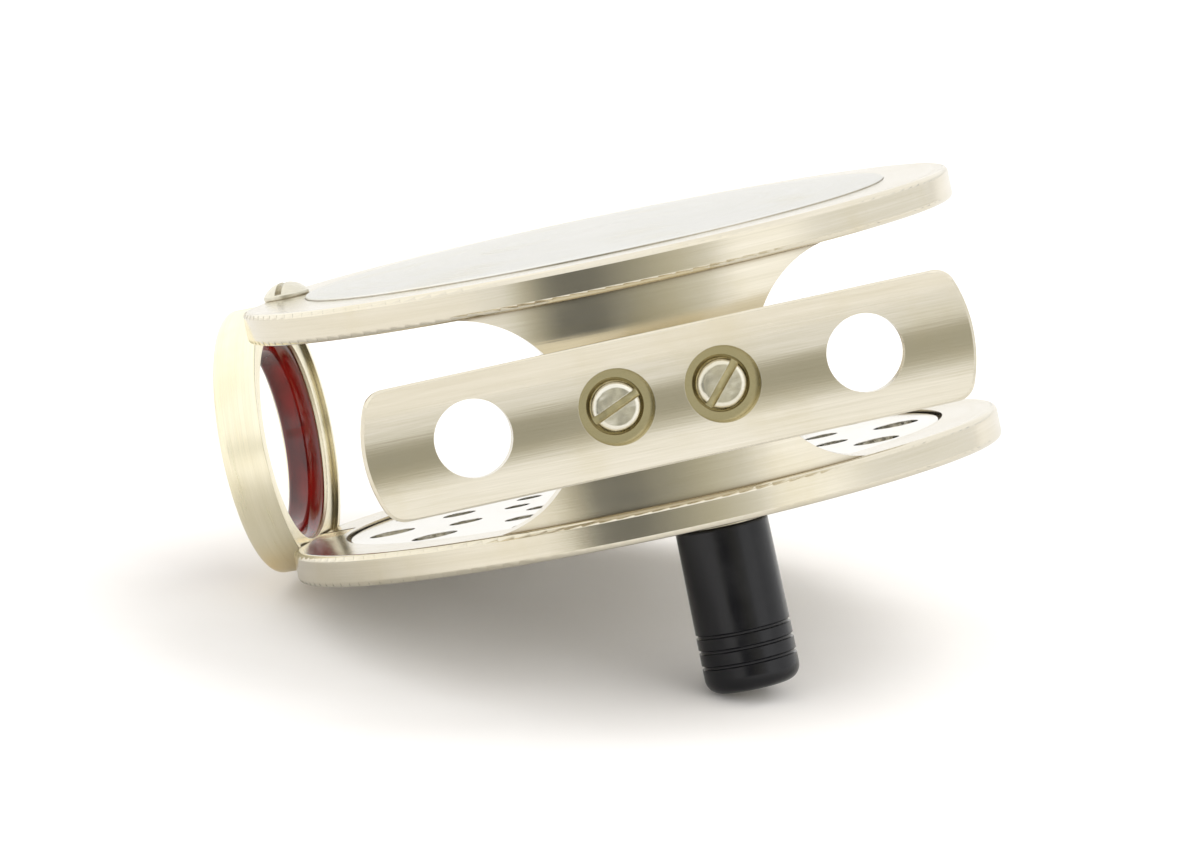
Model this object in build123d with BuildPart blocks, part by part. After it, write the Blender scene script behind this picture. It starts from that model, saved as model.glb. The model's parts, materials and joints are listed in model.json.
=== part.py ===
"""Classic fly fishing reel: caged frame, saddle foot, ring line guard, ported spool and click.

Millimetres. The origin is on the spool axis at mid-width. +Z runs along the spool axis
towards the back plate, the foot faces -Y and the crank handle is on the -Z side.
"""

import math
import os

from build123d import *

os.makedirs("parts", exist_ok=True)

# ---- driving dimensions ---------------------------------------------------------------
frame_r = 38.0
frame_half_width = 14.6
window_half_height = 11.2
rim_round = 0.6
rim_inner_r = 32.2
fit_gap = 0.02
head_gap = 0.05
screw_chamfer = 0.12

# back plate and the ledge it sits on
plate_r = 31.15
plate_ledge_inner_r = 28.0
plate_ledge_z = (12.6, 13.6)
plate_edge_z = 14.85
plate_crown_z = 15.6
plate_inner_z = 14.3
plate_chamfer = 0.12
plate_chamber_r = 27.0
plate_screw_ring_r = 29.6
plate_screw_count = 4
plate_screw_r = 0.6
plate_screw_head_r = 1.15
plate_screw_head_h = 0.5
plate_screw_length = 1.8

# bridges that join the two rims
bridge_outer_r = 37.3
bridge_wall = 2.6
bridge_end_r = 11.35
front_bridge_half = 9.65
rear_bridge_half = 7.0
rear_bridge_turn = -15.0
bridge_root = 0.3

# foot, a thin saddle: slightly hollow towards the rod, rounded behind, thinner at its ends
foot_length = 63.6
foot_centre_x = -0.6
foot_half_width = 6.8
foot_saddle_r = 29.0
foot_back_r = 12.0
foot_trough_y = -43.0
foot_back_y = -40.9
foot_end_back_y = -42.1
foot_taper_length = 13.0
foot_end_bulge = 1.75
foot_corner_r = 2.2
foot_edge = 0.18
foot_end_bevel = 0.3
foot_hole_spacing = 40.9
foot_hole_r = 4.03
pedestal_length = 22.0
pedestal_width = 11.0
pedestal_corner_r = 1.5
pedestal_top_y = -42.6
pedestal_root_y = -34.9
foot_screw_spacing = 11.06
spot_face_r = 3.95
spot_face_y = -41.3
screw_seat_r = 2.95
screw_seat_y = -40.3
foot_screw_head_r = 2.7
foot_screw_top_y = -42.6
foot_screw_dome = 0.4
foot_screw_crown_r = 1.95
foot_screw_r = 1.4
foot_screw_end_y = -34.9
foot_slot_width = 0.85
foot_slot_depth = 0.5
foot_slot_turns = (22.9, 48.6)

# line guard, on a radial axis turned back from the -X side
guard_turn = 20.0
guard_seat_r = 36.22
guard_face_r = 36.66
guard_end_r = 41.1
guard_band_r = 14.22
guard_rim_r = 13.65
guard_bore_r = 11.2
guard_band_round = 0.9
agate_seat_r = 37.1
agate_end_r = 40.7
agate_outer_r = 12.0
agate_throat_r = 9.9
agate_mouth_r = 10.95
agate_exit_r = 10.4
agate_throat_inset = (1.35, 0.5)
guard_lip_r = 12.6
retaining_bore_r = 11.3
tongue_half_width = 3.0
tongue_inner_r = 32.95
tongue_z = (11.25, 12.85)
tongue_pocket_gap = 0.05
guard_screw_ring_r = 34.25
guard_screw_head_r = 2.45
guard_screw_side = 0.55
guard_screw_dome = 1.1
guard_screw_crown_r = 0.4
guard_screw_r = 0.9
guard_screw_end_z = 11.7
guard_slot_width = 0.75
guard_slot_turn = 62.0

# spool and spindle
flange_r = 31.7
front_flange_z = (-12.8, -11.5)
rear_flange_z = (11.3, 12.1)
arbor_r = 8.1
arbor_fillet = 1.2
bush_r = 4.0
bush_length = 8.0
spindle_r = 2.5
running_gap = 0.03
front_boss_r = 6.5
front_boss_z = -13.6
rear_boss_r = 5.3
rear_boss_z = 12.7
bush_chamfer = 0.2
spindle_flange_r = 5.2
spindle_flange_z = 13.3
spindle_tip_z = -13.75
spindle_screw_ring_r = 3.85
spindle_screw_count = 3
spindle_screw_r = 0.5
spindle_screw_head_r = 0.95
spindle_screw_head_h = 0.4
spindle_screw_length = 1.45
washer_z = (12.85, 13.27)
washer_r = 4.8
spool_screw_r = 1.4
spool_screw_head_r = 4.2
spool_screw_side = 0.84
spool_screw_dome = 0.56
spool_screw_crown_r = 0.6
spool_screw_depth = 6.0
spool_slot = (1.1, 0.3)
spool_slot_turn = 35
retainer_r = 5.5
retainer_thick = 0.4

# three rings of holes in the front flange: (count, hole radius, ring radius, first angle)
hole_rings = (
    (12, 2.45, 27.3, -2.5),
    (12, 1.80, 20.4, 12.5),
    (12, 1.40, 13.8, -2.5),
)

# crank handle
handle_ring_r = 21.0
handle_angle = -77.5
collar_r = 4.9
collar_end_z = -15.95
knob_gap = 0.05
knob_base_r = 4.88
knob_tip_r = 5.0
knob_end_z = -33.25
knob_swell_z = -29.0
knob_corner_r = 1.6
knob_base_round = 0.2
knob_bore_r = 1.65
knob_groove_r = 0.22
knob_groove_drops = (2.95, 4.6, 6.2)
collar_chamfer = 0.15
post_r = 1.6
post_head_r = 2.4
post_head_thick = 0.5
post_end_z = -31.95
knob_counterbore_r = 3.0
knob_counterbore_z = -31.75
handle_screw_head_r = 2.6
handle_screw_side = 0.8
handle_screw_dome = 0.2
handle_screw_crown_r = 0.5
handle_screw_r = 0.9
handle_screw_depth = 5.0
handle_slot = (0.7, 0.3)
handle_slot_turn = 20

# click mechanism under the back plate
tooth_count = 24
gear_tip_r = 9.0
gear_root_r = 8.1
gear_bore_r = 5.35
gear_top_z = 13.55
gear_screw_ring_r = 6.8
gear_screw_count = 3
gear_screw_first_angle = 30
gear_screw_r = 0.6
gear_screw_head_r = 1.05
gear_screw_head_h = 0.5
gear_screw_length = 3.0
gear_crest_half = 0.1
gear_gap_flare = 1.15
pawl_pivot_y = 14.2
pawl_heel_r = 3.0
pawl_half_width = 1.9
pawl_reach = 5.8
pawl_tip_round = 0.2
pawl_z = (12.8, 14.1)
pawl_screw_r = 1.2
pawl_screw_head_r = 2.0
pin_head_z = (12.35, 12.75)
click_spring_thick = 0.25
click_spring_z = (12.85, 14.05)
spring_post_x = -9.0
spring_post_r = 1.0
spring_post_head_r = 1.6
spring_post_rise = 2.0
spring_free_x = 4.0
blind_pin_depth = 0.5

guard_angle = 180.0 - guard_turn
guard_plane = Plane.XY.rotated((0, 0, guard_angle))
guard_mouth = Plane(
    origin=(0, 0, 0),
    x_dir=(0, 0, 1),
    z_dir=(math.cos(math.radians(guard_angle)), math.sin(math.radians(guard_angle)), 0),
)
foot_hole_places = (foot_centre_x - foot_hole_spacing / 2, foot_centre_x + foot_hole_spacing / 2)
foot_screw_places = (foot_centre_x - foot_screw_spacing / 2, foot_centre_x + foot_screw_spacing / 2)
handle_x = handle_ring_r * math.cos(math.radians(handle_angle))
handle_y = handle_ring_r * math.sin(math.radians(handle_angle))


def countersunk_screw(head_plane, head_r, head_h, shank_r, length):
    """A flush screw whose flat head lies on head_plane and whose shank runs along its normal."""
    with BuildPart() as screw:
        with BuildSketch(head_plane):
            Circle(head_r)
        extrude(amount=head_h)
        with BuildSketch(head_plane):
            Circle(shank_r)
        extrude(amount=length)
        with BuildSketch(head_plane):
            Rectangle(2 * head_r, 0.25 * head_r)
        extrude(amount=0.4 * head_h, mode=Mode.SUBTRACT)
    return screw.part


def slotted_screw(head_plane, head_r, side, dome, crown_r, shank_r, length, slot, turn):
    """A round-topped slotted screw: head on the -normal side of head_plane, shank along the normal."""
    slot_width, slot_depth = slot
    section = Plane(head_plane.origin, x_dir=head_plane.x_dir, z_dir=-head_plane.y_dir)
    edge_x = head_r - screw_chamfer
    top = -side - dome
    with BuildPart() as screw:
        with BuildSketch(section):
            with BuildLine():
                Polyline(
                    (crown_r, top),
                    (0, top),
                    (0, length),
                    (shank_r, length),
                    (shank_r, 0),
                    (head_r, 0),
                    (head_r, screw_chamfer - side),
                    (edge_x, -side),
                )
                ThreePointArc(
                    (edge_x, -side), ((edge_x + crown_r) / 2, -side - 0.75 * dome), (crown_r, top)
                )
            make_face()
        revolve(axis=Axis(head_plane.origin, head_plane.z_dir))
        with BuildSketch(head_plane.offset(top)):
            with Locations(Rotation(0, 0, turn)):
                Rectangle(2.4 * head_r, slot_width)
        extrude(amount=slot_depth + dome, mode=Mode.SUBTRACT)
    return screw.part


# ---- frame ----------------------------------------------------------------------------
def bridge_blank(half_width, turn, side):
    """One wall between the rims, waisted by two full-radius window ends."""
    centre_x = half_width + bridge_end_r
    height = 2 * (window_half_height + bridge_root)
    with BuildPart() as bridge:
        with BuildSketch(Plane.XY.offset(-height / 2)):
            Circle(bridge_outer_r)
            Circle(bridge_outer_r - bridge_wall, mode=Mode.SUBTRACT)
        extrude(amount=height)
        with BuildSketch(Plane.XZ.rotated((0, 0, turn))):
            Rectangle(2 * centre_x, height)
            with Locations((-centre_x, 0), (centre_x, 0)):
                Circle(bridge_end_r, mode=Mode.SUBTRACT)
        extrude(amount=side * frame_r, mode=Mode.INTERSECT)
    return bridge.part


front_bridge = bridge_blank(front_bridge_half, 0, 1)
rear_bridge = bridge_blank(rear_bridge_half, rear_bridge_turn, -1)

with BuildPart() as frame:
    with BuildSketch(Plane.XZ) as upper_rim_section:
        with BuildLine():
            Polyline(
                (rim_inner_r, window_half_height),
                (frame_r, window_half_height),
                (frame_r, frame_half_width),
                (plate_r + 0.05, frame_half_width),
                (plate_r + 0.05, plate_ledge_z[1]),
                (plate_ledge_inner_r, plate_ledge_z[1]),
                (plate_ledge_inner_r, plate_ledge_z[0]),
                (rim_inner_r, plate_ledge_z[0]),
                close=True,
            )
        make_face()
        fillet(upper_rim_section.vertices().group_by(Axis.X)[-1], rim_round)
    revolve(axis=Axis.Z)
    with BuildSketch(Plane.XZ) as lower_rim_section:
        with BuildLine():
            Polyline(
                (rim_inner_r, -frame_half_width),
                (frame_r, -frame_half_width),
                (frame_r, -window_half_height),
                (rim_inner_r, -window_half_height),
                close=True,
            )
        make_face()
        fillet(lower_rim_section.vertices().group_by(Axis.X)[-1], rim_round)
    revolve(axis=Axis.Z)
    add(front_bridge)
    add(rear_bridge)
    # flats that seat the line guard
    with BuildSketch(guard_mouth.offset(guard_seat_r - fit_gap)):
        Rectangle(3 * frame_half_width, 2 * guard_band_r)
    extrude(amount=frame_r, mode=Mode.SUBTRACT)
    # pockets for the guard's two tongues, and their screw holes
    pocket_top = tongue_z[1] + tongue_pocket_gap
    pocket_middle = (window_half_height + pocket_top) / 2
    pocket_height = pocket_top - window_half_height
    with BuildSketch(guard_mouth.offset(tongue_inner_r - tongue_pocket_gap)):
        with Locations((pocket_middle, 0), (-pocket_middle, 0)):
            Rectangle(pocket_height, 2 * (tongue_half_width + tongue_pocket_gap))
    extrude(amount=frame_r - tongue_inner_r, mode=Mode.SUBTRACT)
    with BuildSketch(guard_plane.offset(-frame_half_width)):
        with Locations((guard_screw_ring_r, 0)):
            Circle(guard_screw_r + fit_gap)
    extrude(amount=2 * frame_half_width, mode=Mode.SUBTRACT)
    # screw holes for the back plate and the foot
    with BuildSketch(Plane.XY.offset(plate_ledge_z[0])):
        with PolarLocations(plate_screw_ring_r, plate_screw_count, start_angle=45):
            Circle(plate_screw_r + fit_gap)
    extrude(amount=plate_ledge_z[1] - plate_ledge_z[0], mode=Mode.SUBTRACT)
    with BuildSketch(Plane.XY.offset(plate_ledge_z[0])):
        with PolarLocations(plate_screw_ring_r, plate_screw_count, start_angle=45):
            Circle(plate_screw_head_r + fit_gap)
    extrude(amount=plate_screw_head_h + head_gap, mode=Mode.SUBTRACT)
    with BuildSketch(Plane.XZ.offset(-foot_screw_end_y)):
        with Locations((foot_screw_places[0], 0), (foot_screw_places[1], 0)):
            Circle(foot_screw_r + fit_gap)
    extrude(amount=frame_r + foot_screw_end_y, mode=Mode.SUBTRACT)
frame.part.label = "frame"
export_step(frame.part, "parts/frame.step")

# ---- back plate -----------------------------------------------------------------------
with BuildPart() as back_plate:
    with BuildSketch(Plane.XZ):
        with BuildLine():
            Polyline(
                (0, plate_crown_z),
                (0, plate_inner_z),
                (plate_chamber_r, plate_inner_z),
                (plate_chamber_r, plate_ledge_z[1]),
                (plate_r, plate_ledge_z[1]),
                (plate_r, plate_edge_z - plate_chamfer),
                (plate_r - plate_chamfer, plate_edge_z),
            )
            crown_mid_z = plate_edge_z + 0.75 * (plate_crown_z - plate_edge_z)
            Spline(
                (plate_r - plate_chamfer, plate_edge_z),
                (plate_r / 2, crown_mid_z),
                (0, plate_crown_z),
                tangents=((-1, 0.048), (-1, 0)),
            )
        make_face()
    revolve(axis=Axis.Z)
    with BuildSketch(Plane.XY.offset(plate_ledge_z[1])):
        with PolarLocations(plate_screw_ring_r, plate_screw_count, start_angle=45):
            Circle(plate_screw_r + fit_gap)
    screw_end_z = plate_ledge_z[0] + plate_screw_length
    extrude(amount=screw_end_z + fit_gap - plate_ledge_z[1], mode=Mode.SUBTRACT)
    with BuildSketch(Plane.XY.offset(plate_inner_z)):
        with PolarLocations(spindle_screw_ring_r, spindle_screw_count):
            Circle(spindle_screw_r + fit_gap)
        with Locations((0, pawl_pivot_y)):
            Circle(pawl_screw_r + fit_gap)
        with Locations((spring_post_x, pawl_pivot_y + spring_post_rise)):
            Circle(spring_post_r + fit_gap)
    extrude(amount=blind_pin_depth + fit_gap, mode=Mode.SUBTRACT)
back_plate.part.label = "back_plate"
export_step(back_plate.part, "parts/back_plate.step")

plate_screw = countersunk_screw(
    Plane.XY.offset(plate_ledge_z[0]),
    plate_screw_head_r,
    plate_screw_head_h,
    plate_screw_r,
    plate_screw_length,
)
with BuildPart() as back_plate_screws:
    with PolarLocations(plate_screw_ring_r, plate_screw_count, start_angle=45):
        add(plate_screw)
back_plate_screws.part.label = "back_plate_screws"
export_step(back_plate_screws.part, "parts/back_plate_screws.step")

# ---- foot -----------------------------------------------------------------------------
foot_edge_y = foot_trough_y - foot_saddle_r + math.sqrt(foot_saddle_r**2 - foot_half_width**2)
foot_back_edge_y = foot_back_y - foot_back_r + math.sqrt(foot_back_r**2 - foot_half_width**2)
foot_left = foot_centre_x - foot_length / 2
foot_right = foot_centre_x + foot_length / 2

with BuildPart() as reel_foot:
    # section across the foot: hollow front, rounded back, small bevels along both edges
    with BuildSketch(Plane.YZ.offset(foot_left)):
        with BuildLine():
            front_z = foot_half_width - foot_edge
            side_y = foot_edge_y + foot_edge
            ThreePointArc((foot_edge_y, -front_z), (foot_trough_y, 0), (foot_edge_y, front_z))
            Polyline((foot_edge_y, front_z), (side_y, foot_half_width), (foot_back_edge_y, foot_half_width))
            ThreePointArc(
                (foot_back_edge_y, foot_half_width), (foot_back_y, 0), (foot_back_edge_y, -foot_half_width)
            )
            Polyline(
                (foot_back_edge_y, -foot_half_width), (side_y, -foot_half_width), (foot_edge_y, -front_z)
            )
        make_face()
    extrude(amount=foot_length)
    with BuildSketch(Plane.XZ) as foot_outline:
        with BuildLine():
            left_corner_x = foot_left + foot_end_bulge
            right_corner_x = foot_right - foot_end_bulge
            ThreePointArc(
                (right_corner_x, -foot_half_width), (foot_right, 0), (right_corner_x, foot_half_width)
            )
            Line((right_corner_x, foot_half_width), (left_corner_x, foot_half_width))
            ThreePointArc(
                (left_corner_x, foot_half_width), (foot_left, 0), (left_corner_x, -foot_half_width)
            )
            Line((left_corner_x, -foot_half_width), (right_corner_x, -foot_half_width))
        make_face()
        fillet(foot_outline.vertices(), foot_corner_r)
    extrude(amount=2 * frame_r, mode=Mode.INTERSECT)
    # side view: the back slopes towards both ends
    with BuildSketch(Plane.XY.offset(-frame_half_width)):
        Polygon(
            (foot_left, foot_edge_y),
            (foot_right, foot_edge_y),
            (foot_right, foot_end_back_y),
            (foot_right - foot_taper_length, foot_back_y),
            (foot_left + foot_taper_length, foot_back_y),
            (foot_left, foot_end_back_y),
            align=None,
        )
    extrude(amount=2 * frame_half_width, mode=Mode.INTERSECT)
    # fine bevel around both ends of the front face
    end_edges = reel_foot.edges().filter_by(GeomType.BSPLINE)
    end_edges = end_edges.filter_by(lambda edge: (edge @ 0.5).Y < foot_trough_y + foot_edge)
    chamfer(end_edges, foot_end_bevel)
    # pedestal down to the bridge
    with BuildSketch(Plane.XZ.offset(-pedestal_top_y)):
        with Locations((foot_centre_x, 0)):
            RectangleRounded(pedestal_length, pedestal_width, pedestal_corner_r)
    extrude(amount=pedestal_top_y - pedestal_root_y)
    with BuildSketch(Plane.XY.offset(-frame_half_width)):
        Circle(bridge_outer_r)
    extrude(amount=2 * frame_half_width, mode=Mode.SUBTRACT)
    # lightening holes, spot faces and screw holes
    with BuildSketch(Plane.XZ.offset(-foot_back_y)):
        with Locations((foot_hole_places[0], 0), (foot_hole_places[1], 0)):
            Circle(foot_hole_r)
    extrude(amount=foot_back_y - foot_edge_y, mode=Mode.SUBTRACT)
    for seat_y, seat_r in ((spot_face_y, spot_face_r), (screw_seat_y, screw_seat_r)):
        with BuildSketch(Plane.XZ.offset(-seat_y)):
            with Locations((foot_screw_places[0], 0), (foot_screw_places[1], 0)):
                Circle(seat_r)
        extrude(amount=seat_y - foot_edge_y, mode=Mode.SUBTRACT)
    with BuildSketch(Plane.XZ.offset(bridge_outer_r - bridge_wall)):
        with Locations((foot_screw_places[0], 0), (foot_screw_places[1], 0)):
            Circle(foot_screw_r + fit_gap)
    extrude(amount=bridge_wall - bridge_outer_r - foot_edge_y, mode=Mode.SUBTRACT)
reel_foot.part.label = "reel_foot"
export_step(reel_foot.part, "parts/reel_foot.step")

with BuildPart() as foot_screws:
    for screw_x, turn in zip(foot_screw_places, foot_slot_turns):
        seat = Plane((screw_x, screw_seat_y, 0), x_dir=(1, 0, 0), z_dir=(0, 1, 0))
        add(
            slotted_screw(
                seat,
                foot_screw_head_r,
                screw_seat_y - foot_screw_top_y - foot_screw_dome,
                foot_screw_dome,
                foot_screw_crown_r,
                foot_screw_r,
                foot_screw_end_y - screw_seat_y,
                (foot_slot_width, foot_slot_depth),
                -turn,
            )
        )
foot_screws.part.label = "foot_screws"
export_step(foot_screws.part, "parts/foot_screws.step")

# ---- line guard -----------------------------------------------------------------------
# sections are drawn as (distance from the guard's own axis, distance from the spool axis)
guard_section = Plane(guard_mouth.origin, x_dir=(0, 0, 1), z_dir=guard_plane.y_dir)
guard_axis = Axis(guard_mouth.origin, guard_mouth.z_dir)

with BuildPart() as guard_bezel:
    with BuildSketch(guard_section) as bezel_section:
        with BuildLine():
            Polyline(
                (guard_bore_r, guard_face_r),
                (guard_rim_r, guard_face_r),
                (guard_rim_r, guard_seat_r),
                (guard_band_r, guard_seat_r),
                (guard_band_r, guard_end_r),
                (guard_lip_r, guard_end_r),
                (guard_lip_r, agate_end_r),
                (agate_outer_r + fit_gap, agate_end_r),
                (agate_outer_r + fit_gap, agate_seat_r),
                (guard_bore_r, agate_seat_r),
                close=True,
            )
        make_face()
        fillet(bezel_section.vertices().group_by(Axis.Y)[-1].sort_by(Axis.X)[-1], guard_band_round)
    revolve(axis=guard_axis)
    with BuildSketch(guard_mouth.offset(tongue_inner_r)):
        tongue_middle = (tongue_z[0] + tongue_z[1]) / 2
        with Locations((tongue_middle, 0), (-tongue_middle, 0)):
            Rectangle(tongue_z[1] - tongue_z[0], 2 * tongue_half_width)
    extrude(amount=(guard_face_r + agate_seat_r) / 2 - tongue_inner_r)
    with BuildSketch(guard_plane.offset(guard_screw_end_z)):
        with Locations((guard_screw_ring_r, 0)):
            Circle(guard_screw_r + fit_gap)
    extrude(amount=frame_half_width, mode=Mode.SUBTRACT)
    with BuildSketch(guard_plane.offset(-guard_screw_end_z)):
        with Locations((guard_screw_ring_r, 0)):
            Circle(guard_screw_r + fit_gap)
    extrude(amount=-frame_half_width, mode=Mode.SUBTRACT)
guard_bezel.part.label = "guard_bezel"
export_step(guard_bezel.part, "parts/guard_bezel.step")

with BuildPart() as guard_agate:
    with BuildSketch(guard_section):
        with BuildLine():
            throat_start = agate_seat_r + agate_throat_inset[0]
            throat_end = agate_end_r - agate_throat_inset[1]
            Polyline(
                (agate_mouth_r, agate_seat_r),
                (agate_outer_r, agate_seat_r),
                (agate_outer_r, agate_end_r),
                (agate_exit_r, agate_end_r),
            )
            TangentArc((agate_throat_r, throat_end), (agate_exit_r, agate_end_r), tangent=(0, 1))
            Line((agate_throat_r, throat_end), (agate_throat_r, throat_start))
            TangentArc((agate_throat_r, throat_start), (agate_mouth_r, agate_seat_r), tangent=(0, -1))
        make_face()
    revolve(axis=guard_axis)
guard_agate.part.label = "guard_agate"
export_step(guard_agate.part, "parts/guard_agate.step")

with BuildPart() as guard_retaining_ring:
    with BuildSketch(guard_mouth.offset(agate_end_r)):
        Circle(guard_lip_r - fit_gap)
        Circle(retaining_bore_r, mode=Mode.SUBTRACT)
    extrude(amount=guard_end_r - agate_end_r)
guard_retaining_ring.part.label = "guard_retaining_ring"
export_step(guard_retaining_ring.part, "parts/guard_retaining_ring.step")

guard_screw_centre = guard_plane.from_local_coords(Vector(guard_screw_ring_r, 0, 0))
with BuildPart() as guard_screws:
    for side in (1, -1):
        seat_centre = (guard_screw_centre.X, guard_screw_centre.Y, side * frame_half_width)
        seat = Plane(seat_centre, x_dir=(1, 0, 0), z_dir=(0, 0, -side))
        add(
            slotted_screw(
                seat,
                guard_screw_head_r,
                guard_screw_side,
                guard_screw_dome,
                guard_screw_crown_r,
                guard_screw_r,
                frame_half_width - guard_screw_end_z,
                (guard_slot_width, 0.0),
                -side * guard_slot_turn,
            )
        )
guard_screws.part.label = "guard_screws"
export_step(guard_screws.part, "parts/guard_screws.step")

# ---- spindle --------------------------------------------------------------------------
with BuildPart() as spindle:
    with BuildSketch(Plane.XY.offset(spindle_tip_z)):
        Circle(spindle_r)
    extrude(amount=spindle_flange_z - spindle_tip_z)
    with BuildSketch(Plane.XY.offset(spindle_flange_z)):
        Circle(spindle_flange_r)
    extrude(amount=plate_inner_z - spindle_flange_z)
    with BuildSketch(Plane.XY.offset(spindle_flange_z)):
        with PolarLocations(spindle_screw_ring_r, spindle_screw_count):
            Circle(spindle_screw_r + fit_gap)
    extrude(amount=plate_inner_z - spindle_flange_z, mode=Mode.SUBTRACT)
    with BuildSketch(Plane.XY.offset(spindle_flange_z)):
        with PolarLocations(spindle_screw_ring_r, spindle_screw_count):
            Circle(spindle_screw_head_r + fit_gap)
    extrude(amount=spindle_screw_head_h + head_gap, mode=Mode.SUBTRACT)
    with BuildSketch(Plane.XY.offset(spindle_tip_z)):
        Circle(spool_screw_r + fit_gap)
    extrude(amount=spool_screw_depth, mode=Mode.SUBTRACT)
spindle.part.label = "spindle"
export_step(spindle.part, "parts/spindle.step")

spindle_screw = countersunk_screw(
    Plane.XY.offset(spindle_flange_z),
    spindle_screw_head_r,
    spindle_screw_head_h,
    spindle_screw_r,
    spindle_screw_length,
)
with BuildPart() as spindle_screws:
    with PolarLocations(spindle_screw_ring_r, spindle_screw_count):
        add(spindle_screw)
spindle_screws.part.label = "spindle_screws"
export_step(spindle_screws.part, "parts/spindle_screws.step")

with BuildPart() as thrust_washer:
    with BuildSketch(Plane.XY.offset(washer_z[0])):
        Circle(washer_r)
        Circle(spindle_r + running_gap, mode=Mode.SUBTRACT)
    extrude(amount=washer_z[1] - washer_z[0])
thrust_washer.part.label = "thrust_washer"
export_step(thrust_washer.part, "parts/thrust_washer.step")

with BuildPart() as spool_washer:
    with BuildSketch(Plane.XY.offset(spindle_tip_z)):
        Circle(retainer_r)
        Circle(spool_screw_r + fit_gap, mode=Mode.SUBTRACT)
    extrude(amount=-retainer_thick)
spool_washer.part.label = "spool_washer"
export_step(spool_washer.part, "parts/spool_washer.step")

spool_screw_seat = Plane((0, 0, spindle_tip_z - retainer_thick), x_dir=(1, 0, 0), z_dir=(0, 0, 1))
with BuildPart() as spool_screw:
    add(
        slotted_screw(
            spool_screw_seat,
            spool_screw_head_r,
            spool_screw_side,
            spool_screw_dome,
            spool_screw_crown_r,
            spool_screw_r,
            spool_screw_depth,
            spool_slot,
            spool_slot_turn,
        )
    )
spool_screw.part.label = "spool_screw"
export_step(spool_screw.part, "parts/spool_screw.step")

# ---- spool ----------------------------------------------------------------------------
with BuildPart() as spool:
    with BuildSketch(Plane.XZ) as spool_section:
        with BuildLine():
            Polyline(
                (bush_r, front_boss_z),
                (front_boss_r, front_boss_z),
                (front_boss_r, front_flange_z[0]),
                (flange_r, front_flange_z[0]),
                (flange_r, front_flange_z[1]),
                (arbor_r, front_flange_z[1]),
                (arbor_r, rear_flange_z[0]),
                (flange_r, rear_flange_z[0]),
                (flange_r, rear_flange_z[1]),
                (rear_boss_r, rear_flange_z[1]),
                (rear_boss_r, rear_boss_z),
                (bush_r, rear_boss_z),
                close=True,
            )
        make_face()
        corners = spool_section.vertices().filter_by(lambda v: abs(v.X - arbor_r) < 0.01)
        fillet(corners, arbor_fillet)
    revolve(axis=Axis.Z)
    # ported front flange; the hole in the handle's place is left out
    with BuildSketch(Plane.XY.offset(front_flange_z[0])):
        for count, hole_r, ring_r, first_angle in hole_rings:
            for index in range(count):
                angle = first_angle + index * 360 / count
                taken = ring_r + hole_r > handle_ring_r - collar_r and ring_r < handle_ring_r + 1
                if taken and abs((angle - handle_angle + 180) % 360 - 180) < 1:
                    continue
                with PolarLocations(ring_r, 1, start_angle=angle):
                    Circle(hole_r)
    extrude(amount=front_flange_z[1] - front_flange_z[0], mode=Mode.SUBTRACT)
    # riveted crank post
    with BuildSketch(Plane.XY.offset(front_flange_z[0])):
        with Locations((handle_x, handle_y)):
            Circle(post_r + fit_gap)
    extrude(amount=front_flange_z[1] - front_flange_z[0], mode=Mode.SUBTRACT)
    with BuildSketch(Plane.XY.offset(front_flange_z[1])):
        with Locations((handle_x, handle_y)):
            Circle(post_head_r + fit_gap)
    extrude(amount=-post_head_thick, mode=Mode.SUBTRACT)
    # screw holes for the click gear
    with BuildSketch(Plane.XY.offset(rear_flange_z[1])):
        with PolarLocations(gear_screw_ring_r, gear_screw_count, start_angle=gear_screw_first_angle):
            Circle(gear_screw_r + fit_gap)
    extrude(amount=gear_top_z - gear_screw_length - head_gap - rear_flange_z[1], mode=Mode.SUBTRACT)
spool.part.label = "spool"
export_step(spool.part, "parts/spool.step")

for bush_name, bush_z in (("rear_bush", rear_boss_z - bush_length), ("front_bush", front_boss_z)):
    with BuildPart() as bush:
        with BuildSketch(Plane.XY.offset(bush_z)):
            Circle(bush_r)
            Circle(spindle_r + running_gap, mode=Mode.SUBTRACT)
        extrude(amount=bush_length)
        chamfer(bush.edges().filter_by(GeomType.CIRCLE).group_by(SortBy.RADIUS)[-1], bush_chamfer)
    bush.part.label = bush_name
    export_step(bush.part, f"parts/{bush_name}.step")

# ---- crank handle ---------------------------------------------------------------------
handle_top = Plane((handle_x, handle_y, 0))
handle_section = Plane((handle_x, handle_y, 0), x_dir=(1, 0, 0), z_dir=(0, -1, 0))
handle_axis = Axis((handle_x, handle_y, 0), (0, 0, 1))

with BuildPart() as handle_collar:
    with BuildSketch(handle_top.offset(collar_end_z)):
        Circle(collar_r)
        Circle(post_r + fit_gap, mode=Mode.SUBTRACT)
    extrude(amount=front_flange_z[0] - collar_end_z)
    chamfer(handle_collar.edges().group_by(Axis.Z)[0].group_by(SortBy.RADIUS)[-1], collar_chamfer)
handle_collar.part.label = "handle_collar"
export_step(handle_collar.part, "parts/handle_collar.step")

with BuildPart() as handle_post:
    with BuildSketch(handle_top.offset(post_end_z)):
        Circle(post_r)
    extrude(amount=front_flange_z[1] - post_end_z)
    with BuildSketch(handle_top.offset(front_flange_z[1])):
        Circle(post_head_r)
    extrude(amount=-post_head_thick)
    with BuildSketch(handle_top.offset(post_end_z)):
        Circle(handle_screw_r + fit_gap)
    extrude(amount=handle_screw_depth, mode=Mode.SUBTRACT)
handle_post.part.label = "handle_post"
export_step(handle_post.part, "parts/handle_post.step")

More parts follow.
